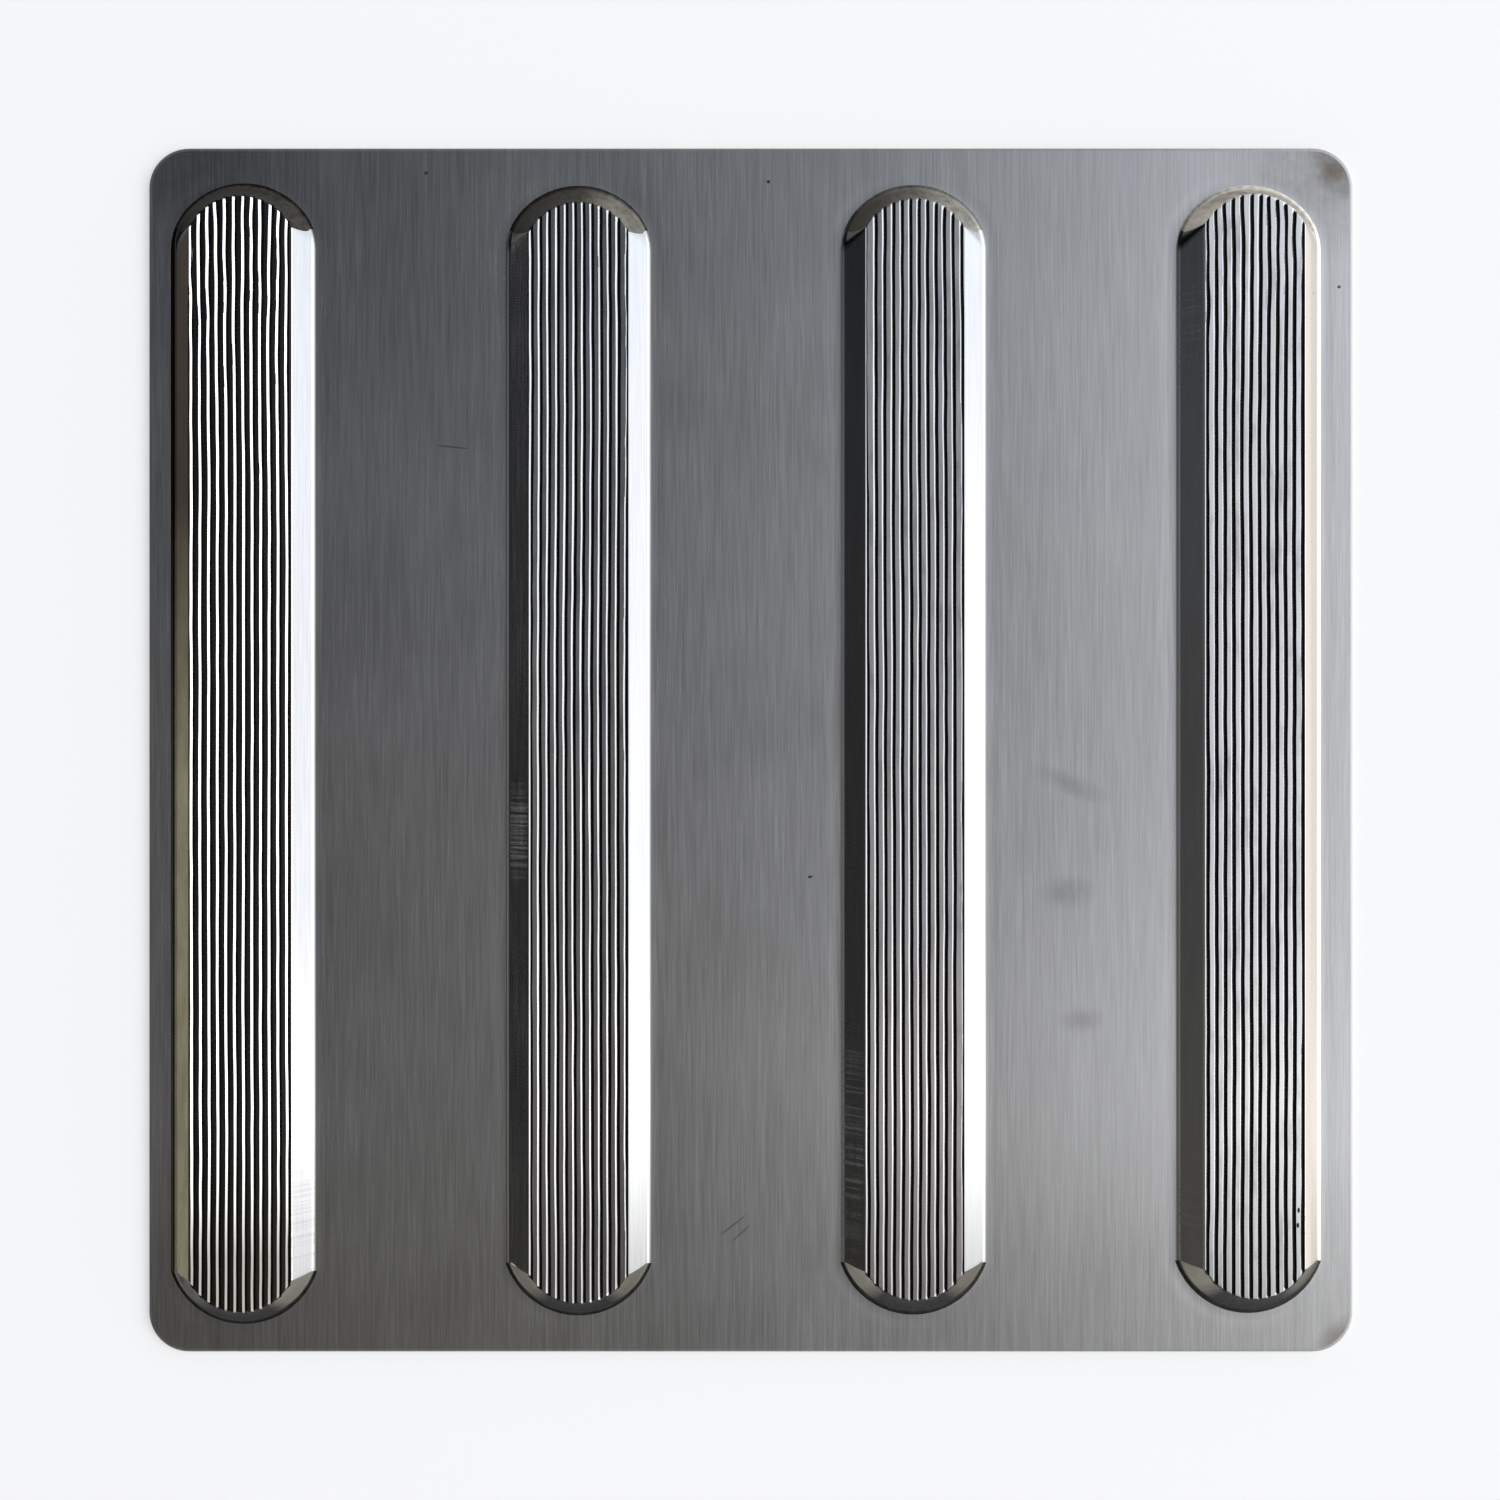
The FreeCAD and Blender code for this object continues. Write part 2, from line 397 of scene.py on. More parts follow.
# %% Raise the four bars
HOLLOW_STEPS = (3.98, 3.93, 2.4)  # levels on the slope of the hollow, mm
ROOF_HALF = 5  # columns in half of the hollow's roof
HOLLOW_SKIRTS = [(0.5 * MM, 0.0)]
OUTER_SLOTS = (LAND, GROOVE, GROOVE_SHADE, FLANK, DRAWN_END, FLAT)
outer_levels = [level * MM for level in SLOPE_STEPS] + [SHEET + step * MM for step in BEND_STEPS]
inner_levels = [level * MM for level in HOLLOW_STEPS] + [2 * step * MM for step in BEND_STEPS]
skirts = [(out * MM, dip * MM) for out, dip in SKIRT_STEPS]
for number, bar in enumerate(BARS):
    form = bar_form(bar)
    hollow = hollow_form(form)
    brow, roof = reach(form.side, CREST), reach(hollow.side, BAR_HEIGHT)
    outer = bar_skin(bm, layers, form, lambda y: groove_stations(number, brow, y), outer_levels, skirts,
                     OUTER_SLOTS)
    roof_stations = [(roof * (step / ROOF_HALF - 1), 0.0) for step in range(2 * ROOF_HALF + 1)]
    inside = bar_skin(bm, layers, hollow, lambda y: roof_stations, inner_levels, HOLLOW_SKIRTS,
                      (UNDERSIDE,) * len(OUTER_SLOTS))
    for name, (ring, verts) in (("above", outer), ("below", inside)):
        bmesh.ops.translate(bm, vec=(bar.x * MM, 0, 0), verts=verts)
        rim_loops[name] += ring
print("faces with the bars:", len(bm.faces))

# %% Fill the sheet between them
WELD = 0.0005 * MM  # points closer than this are one

for name, slot in (("above", FLAT), ("below", UNDERSIDE)):
    made = bmesh.ops.triangle_fill(bm, use_beauty=True, use_dissolve=False, edges=rim_loops[name],
                                   normal=(0, 0, 1))
    for item in made["geom"]:
        if isinstance(item, bmesh.types.BMFace):
            item.material_index = slot
bmesh.ops.remove_doubles(bm, verts=list(bm.verts), dist=WELD)
bmesh.ops.recalc_face_normals(bm, faces=list(bm.faces))

# No edge is open. At the +Y end of the third bar the fill folds one sliver back, 2 mm long and 0.006 mm high,
# so a single edge there has four faces.
odd = [edge for edge in bm.edges if not edge.is_manifold]
print("open edges:", sum(edge.is_boundary for edge in odd), "edges with more than two faces:",
      sum(len(edge.link_faces) > 2 for edge in odd))
print("faces:", len(bm.faces), "volume in mm3:", round(bm.calc_volume() / MM ** 3))

# %% [markdown]
# ## The brushing direction
# Brushed steel shines in a line across its scratches, so the shader has to know which way they run. A UV map
# laid flat over the plate gives it: U runs across the bars, V along them, as the scratches do.
# Smooth shading is used everywhere, and edges that really are sharp, such as the grooves', are marked so.

# %% Brushing map, sharp edges and the finished object
CREASE = math.radians(18)  # an edge that turns more than this is sharp
MITRE_CREASE = math.radians(8)  # and so is a mitre from this

brushing = bm.loops.layers.uv.new("brushing")
for face in bm.faces:
    face.smooth = True
    for loop in face.loops:
        loop[brushing].uv = (loop.vert.co.x / plate_width + 0.5, loop.vert.co.y / plate_width + 0.5)
for edge in bm.edges:
    mitre = all(abs(vert[layers[name]]) == 1.0 for vert in edge.verts for name in ("across", "along"))
    edge.smooth = edge.calc_face_angle(0.0) < (MITRE_CREASE if mitre else CREASE)
for name in ("across", "along", "depth"):
    bm.verts.layers.float.remove(bm.verts.layers.float[name])

mesh = bpy.data.meshes.new("pressed_plate")
bm.to_mesh(mesh)
bm.free()
plate = bpy.data.objects.new("pressed_plate", mesh)
bpy.context.scene.collection.objects.link(plate)
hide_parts("tactile_plate")
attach(plate, "root")
print("triangles:", sum(len(polygon.vertices) - 2 for polygon in mesh.polygons))

# %% [markdown]
# ## Helpers for materials
# Colours are written as the sRGB hex codes that a paint program shows, and the shader wants them linear.
# One helper adds a node, sets it up and links its inputs.

# %% Colour and node helpers
def linear(code):
    """An sRGB hex code as a linear colour with alpha."""
    values = [int(code[start:start + 2], 16) / 255 for start in (1, 3, 5)]
    return tuple(v / 12.92 if v <= 0.04045 else ((v + 0.055) / 1.055) ** 2.4 for v in values) + (1.0,)


def add(tree, kind, inputs=(), **settings):
    """Adds a node; inputs maps an input's name or number to a value or to another node's output."""
    node = tree.nodes.new(kind)
    for name, value in settings.items():
        setattr(node, name, value)
    for name, value in dict(inputs).items():
        if isinstance(value, bpy.types.NodeSocket):
            tree.links.new(value, node.inputs[name])
        else:
            node.inputs[name].default_value = value
    return node


def mix(tree, factor, below, above):
    """Lays the colour above over the colour below by a factor from 0 to 1."""
    return add(tree, "ShaderNodeMix", {"Factor": factor, 6: below, 7: above}, data_type="RGBA").outputs[2]


def new_material(name):
    """An empty material with its output node."""
    material = bpy.data.materials.new(name)
    material.use_nodes = True
    material.node_tree.nodes.clear()
    return material, material.node_tree, add(material.node_tree, "ShaderNodeOutputMaterial")


print("the hex colour #BDBDBE in linear light:", [round(part, 3) for part in linear("#BDBDBE")])

# %% [markdown]
# ## Steel
# Every finish here is the same alloy, stainless steel, a slightly warm grey mirror under its scratches. What
# differs is how it was rubbed. Hairline brushing is a belt that scratches in one direction: long streaks some
# 0.3 mm apart, sharp along the belt and blurred across it. Streaks are noise that is stretched along Y, and
# they change the roughness, the colour and, through a bump, the slope of the surface.

# %% One function for all of the steel finishes
STREAK_WIDTH = 0.36 * MM  # the real hairlines are finer, and this is as fine as the render can show
STREAK_LENGTH = 18 * MM
BROAD_WIDTH = 7  # broad streaks lie under the fine ones: so many times as wide
BROAD_LENGTH = 4  # and so many times as long
BROAD_SHARE = 0.35
MIXED_RANGE = (0.42, 0.93)  # where the sum of the two mostly stays
CLOUD_SIZE = 38 * MM  # patches where the belt pressed harder
CLOUD_ROUGHNESS = 0.02  # how much they change the roughness
SCUFF_ROUGHNESS = 0.2  # what a scuffed place adds to it
print(f"fine streaks are {STREAK_WIDTH / MM:.2f} mm wide and {STREAK_LENGTH / MM:.0f} mm long")


def streaks(tree, point, width, length, detail, seed):
    """Noise stretched along Y: streaks of the given width and length."""
    place = (seed, seed * 1.7, seed * 0.3)  # any place will do, so long as each seed has its own
    scale = (1 / width, 1 / length, 1 / (4 * width))
    moved = add(tree, "ShaderNodeMapping", {"Vector": point, "Location": place, "Scale": scale}).outputs[0]
    return add(tree, "ShaderNodeTexNoise", {"Vector": moved, "Scale": 1.0, "Detail": detail,
                                            "Roughness": 0.6}).outputs["Fac"]


def between(tree, value, low, high, start=0.3, stop=0.7):
    """Spreads a value from start..stop to low..high. Noise mostly stays between 0.3 and 0.7."""
    spread = {"Value": value, "From Min": start, "From Max": stop, "To Min": low, "To Max": high}
    return add(tree, "ShaderNodeMapRange", spread).outputs["Result"]


def steel(name, dark, pale, roughness, anisotropy, relief, width=STREAK_WIDTH, length=STREAK_LENGTH,
          stains_and_painted_light=None, scuff=None):
    """Stainless steel rubbed along Y.

    Dark and pale are the colours of its streaks, and roughness is a pair for them. Relief is their height,
    the stain function lays marks over the colour, and on the flanks painted reflections and painted shade,
    and scuff is a mask of places that are rougher.
    """
    material, tree, output = new_material(name)
    point = add(tree, "ShaderNodeTexCoord").outputs["Object"]
    fine = streaks(tree, point, width, length, 3.0, 1.0)
    broad = streaks(tree, point, BROAD_WIDTH * width, BROAD_LENGTH * length, 2.0, 5.0)
    cloud = add(tree, "ShaderNodeTexNoise", {"Vector": point, "Scale": 1 / CLOUD_SIZE, "Detail": 3.0})
    mixed = add(tree, "ShaderNodeMath", {0: broad, 1: BROAD_SHARE, 2: fine}, operation="MULTIPLY_ADD")
    tone = between(tree, mixed.outputs[0], 0.0, 1.0, *MIXED_RANGE)
    colour = mix(tree, tone, linear(dark), linear(pale))
    if stains_and_painted_light:
        colour = stains_and_painted_light(tree, point, colour)
    uneven = between(tree, cloud.outputs["Fac"], -CLOUD_ROUGHNESS, CLOUD_ROUGHNESS)
    worn = add(tree, "ShaderNodeMath", {0: between(tree, fine, *roughness), 1: uneven}, operation="ADD")
    if scuff:
        worn = add(tree, "ShaderNodeMath", {0: scuff(tree, point), 1: SCUFF_ROUGHNESS, 2: worn.outputs[0]},
                   operation="MULTIPLY_ADD")
    bump = add(tree, "ShaderNodeBump", {"Height": fine, "Distance": relief, "Strength": 1.0})
    tangent = add(tree, "ShaderNodeTangent", direction_type="UV_MAP", uv_map="brushing")
    shader = add(tree, "ShaderNodeBsdfPrincipled", {
        "Base Color": colour, "Metallic": 1.0, "Roughness": worn.outputs[0], "Anisotropic": anisotropy,
        "Normal": bump.outputs[0], "Tangent": tangent.outputs[0]})
    tree.links.new(shader.outputs[0], output.inputs["Surface"])
    return material


# %% [markdown]
# ## Stains and marks
# A plate that has lain in a workshop isn't clean. Each mark is one more layer over the steel's colour: a mask
# that says where it is, and the colour that it pulls the steel towards. A mask comes from the distance to the
# mark's middle, stretched and turned for a scratch, or from a position along an axis.

# %% Helpers for marks
def grain(tree, point, size, detail=3.0):
    """Even noise with lumps of the given size, or of a size for each axis."""
    sizes = size if isinstance(size, tuple) else (size,) * 3
    scaled = add(tree, "ShaderNodeMapping", {"Vector": point, "Scale": tuple(1 / value for value in sizes)})
    return add(tree, "ShaderNodeTexNoise", {"Vector": scaled.outputs[0], "Scale": 1.0, "Detail": detail,
                                            "Roughness": 0.6}).outputs["Fac"]


def spot(tree, point, place, size, turn=0.0, soft=0.4):
    """A mask that is 1 inside an ellipse on the sheet and fades out over the share soft of its size."""
    shift = (-place[0] * MM, -place[1] * MM, 0.0)
    angle = (0.0, 0.0, math.radians(-turn))
    shrink = (1 / (size[0] * MM), 1 / (size[1] * MM), 0.0)
    moved = add(tree, "ShaderNodeMapping", {"Vector": point, "Location": shift}).outputs[0]
    turned = add(tree, "ShaderNodeMapping", {"Vector": moved, "Rotation": angle}).outputs[0]
    flat = add(tree, "ShaderNodeMapping", {"Vector": turned, "Scale": shrink}).outputs[0]
    away = add(tree, "ShaderNodeVectorMath", {0: flat}, operation="LENGTH").outputs["Value"]
    return between(tree, away, 1.0, 0.0, 1.0 - soft, 1.0)


def times(tree, first, second):
    """The product of two masks."""
    return add(tree, "ShaderNodeMath", {0: first, 1: second}, operation="MULTIPLY").outputs[0]


# %% [markdown]
# ## Marks on the sheet
# The sheet has brown stains in its two corners on the right, and a dull grey one in the corner at -X and +Y.
# Three dark specks lie near its edges and a dark nick between the two middle bars. Three short scratches run
# across the brushing, and between the two bars on the right handling has left dull marks.

# %% Stains, specks and scratches
Mark = collections.namedtuple("Mark", "place size turn colour share")
LARGE = 3.0  # mm; a mark with both half lengths above this is patchy, with a soft edge
PATCH_SIZE = 4 * MM
SHEET_MARKS = [  # middle and half lengths in mm, turn in degrees
    Mark((146.0, 147.0), (30.0, 26.0), 0, "#7A7570", 0.62),
    Mark((145.5, 144.5), (5.5, 9.0), 35, "#5E4C36", 0.75),
    Mark((147.0, -146.5), (9.0, 5.0), 40, "#6E5C46", 0.6),
    Mark((-146.0, 146.0), (40.0, 24.0), 0, "#8E9094", 0.5),
    Mark((4.4, 141.6), (0.55, 0.5), 0, "#2A2A2A", 0.9),
    Mark((146.6, 115.4), (0.5, 0.45), 0, "#2A2A2A", 0.9),
    Mark((-80.9, 143.8), (0.6, 0.5), 0, "#3A3A3A", 0.7),
    Mark((14.8, -31.6), (0.75, 0.35), 10, "#262626", 0.9),
    Mark((-4.4, -118.4), (0.22, 4.8), -52, "#55565A", 0.6),
    Mark((-2.4, -120.4), (0.24, 3.6), -47, "#5A5A5C", 0.55),
    Mark((-74.4, 75.5), (0.24, 4.6), 84, "#5A5A5C", 0.6),
    Mark((79.1, -35.4), (8.0, 4.6), 0, "#8F8E8D", 0.5),
    Mark((82.4, -67.3), (6.6, 3.8), 0, "#8F8E8D", 0.45),
    Mark((79.6, -8.5), (3.4, 12.0), 68, "#949392", 0.45),
    Mark((-122.0, -137.0), (9.0, 3.5), 0, "#9A958C", 0.35),
]


def sheet_marks(tree, point, colour):
    """The sheet's stains, specks and scratches over its colour."""
    patchy = between(tree, grain(tree, point, PATCH_SIZE), 0.55, 1.0)
    for mark in SHEET_MARKS:
        large = min(mark.size) > LARGE
        mask = spot(tree, point, mark.place, mark.size, mark.turn, 0.8 if large else 0.4)
        mask = times(tree, mask, patchy if large else 1.0)
        colour = mix(tree, times(tree, mask, mark.share), colour, linear(mark.colour))
    return colour


print("marks on the sheet:", len(SHEET_MARKS))

# %% [markdown]
# ## Marks and painted light on the bars
# The outermost flanks carry painted reflections: olive and then brown on the left, and pale cream on the
# right.
# Where the press chattered, flanks show short cross bands about a millimetre apart, in patches. The lands are
# worn in places, the two middle bars have a faint heat tint, the last bar has a few pits near one end, and
# the bar on the far left is oily.

# %% Chatter, painted reflections and painted shade on the flanks
# Middles and half lengths of the patches, in mm
CHATTER = (((-111.0, -122.0), (6.0, 22.0)), ((-58.0, -20.0), (6.0, 14.0)), ((25.0, -98.0), (6.0, 40.0)),
           ((109.0, 104.0), (6.0, 22.0)), ((109.0, -116.0), (6.0, 14.0)))
BANDS = (60 * MM, 1.0 * MM, 60 * MM)  # size of a band: right across a flank, and 1 mm along it
BLOTCHES = (3 * MM, 9 * MM, 3 * MM)
OLIVE_TO_BROWN = (-8 * MM, 62 * MM)  # the painted reflection on the left turns from olive to brown over this part of Y
LEFT_FLANK = (-138.2 * MM, -137.4 * MM)  # the painted reflection on the left flank begins over this part of X
RIGHT_FLANK = (136.2 * MM, 137.0 * MM)  # and the pale painted reflection on the right flank over this one


def chatter(tree, point):
    """A mask of cross bands, where the press chattered."""
    bands = between(tree, grain(tree, point, BANDS, 2.0), 0.0, 1.0, 0.42, 0.62)
    patches = spot(tree, point, *CHATTER[0], soft=0.7)
    for place, size in CHATTER[1:]:
        patches = add(tree, "ShaderNodeMath", {0: patches, 1: spot(tree, point, place, size, soft=0.7)},
                      operation="MAXIMUM").outputs[0]
    return times(tree, bands, patches)


def normals(tree):
    """The parts of the surface's normal."""
    geometry = add(tree, "ShaderNodeNewGeometry")
    return add(tree, "ShaderNodeSeparateXYZ", {0: geometry.outputs["Normal"]}).outputs


def flank_marks_and_painted_light(tree, point, colour):
    """Chatter bands, painted reflections on the two outermost flanks, and painted shade on the mitres that
    face -X at the +Y ends.
    """
    axes = add(tree, "ShaderNodeSeparateXYZ", {0: point}).outputs
    colour = mix(tree, times(tree, chatter(tree, point), 0.45), colour, linear("#8F939A"))
    blotches = between(tree, grain(tree, point, BLOTCHES), 0.0, 1.0)
    brown = mix(tree, blotches, linear("#2A2118"), linear("#33281C"))
    olive = mix(tree, blotches, linear("#6F6A53"), linear("#827C64"))
    # Painted reflection on the leftmost flank: olive, then brown towards +Y
    painted_left_reflection = mix(tree, between(tree, axes["Y"], 1.0, 0.0, *OLIVE_TO_BROWN), brown, olive)
    colour = mix(tree, between(tree, axes["X"], 1.0, 0.0, *LEFT_FLANK), colour, painted_left_reflection)
    # Painted reflection on the rightmost flank: pale cream
    painted_right_reflection = between(tree, axes["X"], 0.0, 0.9, *RIGHT_FLANK)
    colour = mix(tree, painted_right_reflection, colour, linear("#FAF0E2"))
    # Painted shade: flank faces that face -X and turn towards +Y, at the mitres, are painted dark grey
    facing = normals(tree)
    leftward = between(tree, facing["X"], 0.95, 0.0, -0.3, -0.1)
    upward = between(tree, facing["Y"], 0.0, 1.0, 0.005, 0.05)
    return mix(tree, times(tree, leftward, upward), colour, linear("#3B3A37"))


print("patches of chatter:", len(CHATTER))

# %% Wear, heat tint, pits and oil on the tops
PITS = ((135.1, -113.5), (134.9, -117.2), (136.6, -112.0), (136.5, -115.5), (136.4, -119.2))  # middles in mm
PIT_SIZE = (0.4, 0.8)  # half lengths in mm
LEFT_BAR = (-95 * MM, -90 * MM)  # the bar on the far left lies to the left of this
INNER_BARS = (58 * MM, 62 * MM)  # the two middle bars lie nearer the middle than this
WEAR = (4 * MM, 15 * MM, 4 * MM)  # size of a worn patch
HEAT_END = (-70 * MM, 0.0)  # the heat tint fades out over this part of Y
OIL_END = (-125 * MM, -92 * MM)  # and the oil in the grooves over this one


def land_marks(tree, point, colour):
    """Worn patches, a faint heat tint on the two middle bars, pits, and oil on the bar on the far left."""
    axes = add(tree, "ShaderNodeSeparateXYZ", {0: point}).outputs
    worn = between(tree, grain(tree, point, WEAR), 0.0, 0.5, 0.5, 0.72)
    colour = mix(tree, worn, colour, linear("#858589"))
    aside = add(tree, "ShaderNodeMath", {0: axes["X"]}, operation="ABSOLUTE").outputs[0]
    inner_bars = between(tree, aside, 0.4, 0.0, *INNER_BARS)
    heated = times(tree, inner_bars, between(tree, axes["Y"], 1.0, 0.0, *HEAT_END))
    colour = mix(tree, heated, colour, linear("#D9BFCA"))
    for place in PITS:
        colour = mix(tree, spot(tree, point, place, PIT_SIZE), colour, linear("#1C1C1C"))
    return mix(tree, between(tree, axes["X"], 1.0, 0.0, *LEFT_BAR), colour, linear("#8B8985"))


def groove_marks(tree, point, colour):
    """Brown oil in the grooves of the bar on the far left, near its -Y end."""
    axes = add(tree, "ShaderNodeSeparateXYZ", {0: point}).outputs
    oily = times(tree, between(tree, axes["X"], 0.8, 0.0, *LEFT_BAR),
                 between(tree, axes["Y"], 1.0, 0.0, *OIL_END))
    return mix(tree, oily, colour, linear("#6B6459"))


print("pits:", len(PITS))

# %% [markdown]
# ## Drawn ends
# At its round ends a bar is drawn deepest. The metal is stretched there, the brushing is gone, and scale from
# the press stays on it. The ends on the +Y side are mottled: olive on the plate's left and nearly white on
# its right. Where they face +X they are painted paler, which is a painted highlight, and where they face -X
# they are painted dark grey, which is painted shade. The ends on the -Y side are an even dark grey, with a
# painted highlight at their corners, where they face ±X.

# %% The finish of the ends
MOTTLE_SIZE = 1.6 * MM
ACROSS_PLATE = (-126 * MM, 124 * MM)  # X of the first and the last bar
LAST_BAR_POWER = 4.0  # a position from 0 to 1 between them, to this power, picks out the last bar
MIDDLE_OF_Y = (-1 * MM, 1 * MM)  # the ends on the -Y side give way to those on the +Y side here
END_RELIEF = 0.03 * MM


def drawn_end():
    """Stretched and mottled steel, with painted highlights and painted shade that follow which way it faces.
    """
    material, tree, output = new_material("drawn_end")
    point = add(tree, "ShaderNodeTexCoord").outputs["Object"]
    axes = add(tree, "ShaderNodeSeparateXYZ", {0: point}).outputs
    mottle = grain(tree, point, MOTTLE_SIZE, 4.0)
    lumps = between(tree, mottle, 0.0, 1.0, 0.36, 0.64)
    rightward = between(tree, axes["X"], 0.0, 1.0, *ACROSS_PLATE)
    last_bar = add(tree, "ShaderNodeMath", {0: rightward, 1: LAST_BAR_POWER}, operation="POWER").outputs[0]
    olive = mix(tree, lumps, linear("#2B2925"), linear("#4B4842"))
    nearly_white = mix(tree, lumps, linear("#DAD4C6"), linear("#FFFAF0"))
    facing = normals(tree)["X"]
    middle = mix(tree, last_bar, olive, nearly_white)
    right = mix(tree, times(tree, rightward, 0.8), olive, nearly_white)
    # Painted highlight: parts that face +X are painted paler
    upper = mix(tree, between(tree, facing, 0.0, 1.0, 0.02, 0.35), middle, right)
    # Painted shade: parts that face -X are painted dark grey, less so on the last bar
    leftward = between(tree, facing, 0.9, 0.0, -0.4, 0.05)
    shade_facing_left = times(tree, leftward, between(tree, last_bar, 1.0, 0.3, 0.0, 1.0))
    upper = mix(tree, shade_facing_left, upper, linear("#343330"))
    # Painted highlight: the -Y ends' corners, where they face ±X, are painted pale
    corner = add(tree, "ShaderNodeMath", {0: facing}, operation="ABSOLUTE").outputs[0]
    lower = mix(tree, between(tree, mottle, 0.0, 1.0), linear("#353536"), linear("#494847"))
    lower = mix(tree, between(tree, corner, 0.0, 0.8, 0.34, 0.5), lower, linear("#A09C90"))
    colour = mix(tree, between(tree, axes["Y"], 0.0, 1.0, *MIDDLE_OF_Y), lower, upper)
    bump = add(tree, "ShaderNodeBump", {"Height": mottle, "Distance": END_RELIEF, "Strength": 1.0})
    shader = add(tree, "ShaderNodeBsdfPrincipled", {
        "Base Color": colour, "Metallic": 1.0, "Roughness": between(tree, mottle, 0.24, 0.4),
        "Normal": bump.outputs[0]})
    tree.links.new(shader.outputs[0], output.inputs["Surface"])
    return material


# %% [markdown]
# ## The finishes of the plate
# The flats keep the belt's hairlines, whose scratches trap some of the light. The die rubs the flanks
# smoother and the roller burnishes the lands and the grooves' walls that face +X, so all of these are
# brighter and sharper mirrors. The grooves' bottoms and their walls that face -X get a near-black finish,
# which is painted shade.
# The underside has the dull grey skin that the sheet had when it left the mill.

# %% Give each region its finish
# For each finish: its name, the colours of its streaks, their roughness, how much it stretches a reflection
# across the brushing, the streaks' height and, where they aren't the usual ones, their width and length
FINISHES = {
    FLAT: steel("hairline_stainless_sheet", "#BDBDBE", "#D2D2D3", (0.22, 0.27), 0.7, 0.0012 * MM,
                stains_and_painted_light=sheet_marks),
    FLANK: steel("die_polished_flank", "#DEDEDF", "#ECECED", (0.08, 0.12), 0.4, 0.0003 * MM,
                 stains_and_painted_light=flank_marks_and_painted_light, scuff=chatter),
    LAND: steel("burnished_land", "#DADADB", "#F0F0F1", (0.10, 0.15), 0.4, 0.0007 * MM,
                stains_and_painted_light=land_marks),
    GROOVE: steel("rolled_groove", "#E4E4E5", "#F2F2F3", (0.08, 0.12), 0.3, 0.0003 * MM,
                  stains_and_painted_light=groove_marks),
    UNDERSIDE: steel("mill_finish_underside", "#AFAFB0", "#BFBFC0", (0.42, 0.5), 0.3, 0.001 * MM,
                     1.2 * MM, 30 * MM),
    EDGE: steel("sheared_edge", "#B4B4B5", "#CACACB", (0.3, 0.4), 0.0, 0.001 * MM),
    DRAWN_END: drawn_end(),
    # Painted shade: a near-black finish for the grooves' bottoms and their walls that face -X
    GROOVE_SHADE: steel("groove_painted_shade", "#161514", "#2C2A27", (0.5, 0.6), 0.0, 0.002 * MM,
                 0.5 * MM, 3 * MM),
}
for slot in sorted(FINISHES):
    plate.data.materials.append(FINISHES[slot])
print("finishes:", [material.name for material in FINISHES.values()])

# %% [markdown]
# ## Floor
# The plate lies on a plain pale floor, which takes its soft shadow. The photograph's ground is nearly white,
# so the paint also glows a little. Only the camera and shiny or clear surfaces see that glow, and it lights
# nothing.

# %% Pale floor
FLOOR_RADIUS = 12.0
FLOOR_GAP = 0.02 * MM  # keeps the floor clear of the plate's underside
FLOOR_LIFT = 0.41  # strength of the glow

bm = bmesh.new()
bmesh.ops.create_circle(bm, cap_ends=True, segments=96, radius=FLOOR_RADIUS)
bmesh.ops.translate(bm, vec=(0, 0, -FLOOR_GAP), verts=list(bm.verts))
floor_mesh = bpy.data.meshes.new("pale_floor")
bm.to_mesh(floor_mesh)
bm.free()
floor = bpy.data.objects.new("pale_floor", floor_mesh)
bpy.context.scene.collection.objects.link(floor)

material, tree, output = new_material("matt_white_floor")
rays = add(tree, "ShaderNodeLightPath").outputs
seen = rays["Is Camera Ray"]
for kind in ("Is Glossy Ray", "Is Transmission Ray"):
    seen = add(tree, "ShaderNodeMath", {0: seen, 1: rays[kind]}, operation="MAXIMUM").outputs[0]
paint = add(tree, "ShaderNodeBsdfPrincipled", {
    "Base Color": linear("#F6F6F6"), "Roughness": 0.9, "Specular IOR Level": 0.1,
    "Emission Color": linear("#FFFFFF"), "Emission Strength": times(tree, seen, FLOOR_LIFT)})
tree.links.new(paint.outputs[0], output.inputs["Surface"])
floor.data.materials.append(material)
print("floor radius in m:", FLOOR_RADIUS)

# %% [markdown]
# ## Light
# Polished steel shows the room more than the lamps. In the photograph the room is dark on the left and has a
# wide bright wall or window on the right, and it is bluer at the top of the picture than at the bottom. The
# world is that room: one colour ramp says how bright it is from left to right, and two more tint and dim it
# from the bottom of the picture to the top, one for the left half of the room and one for the right half.
# A low pale wall runs all round it, lower on the far left, and its two ends are pale as well, so that the
# plate has something to mirror when it is seen from the side. The camera itself sees a plain pale backdrop.

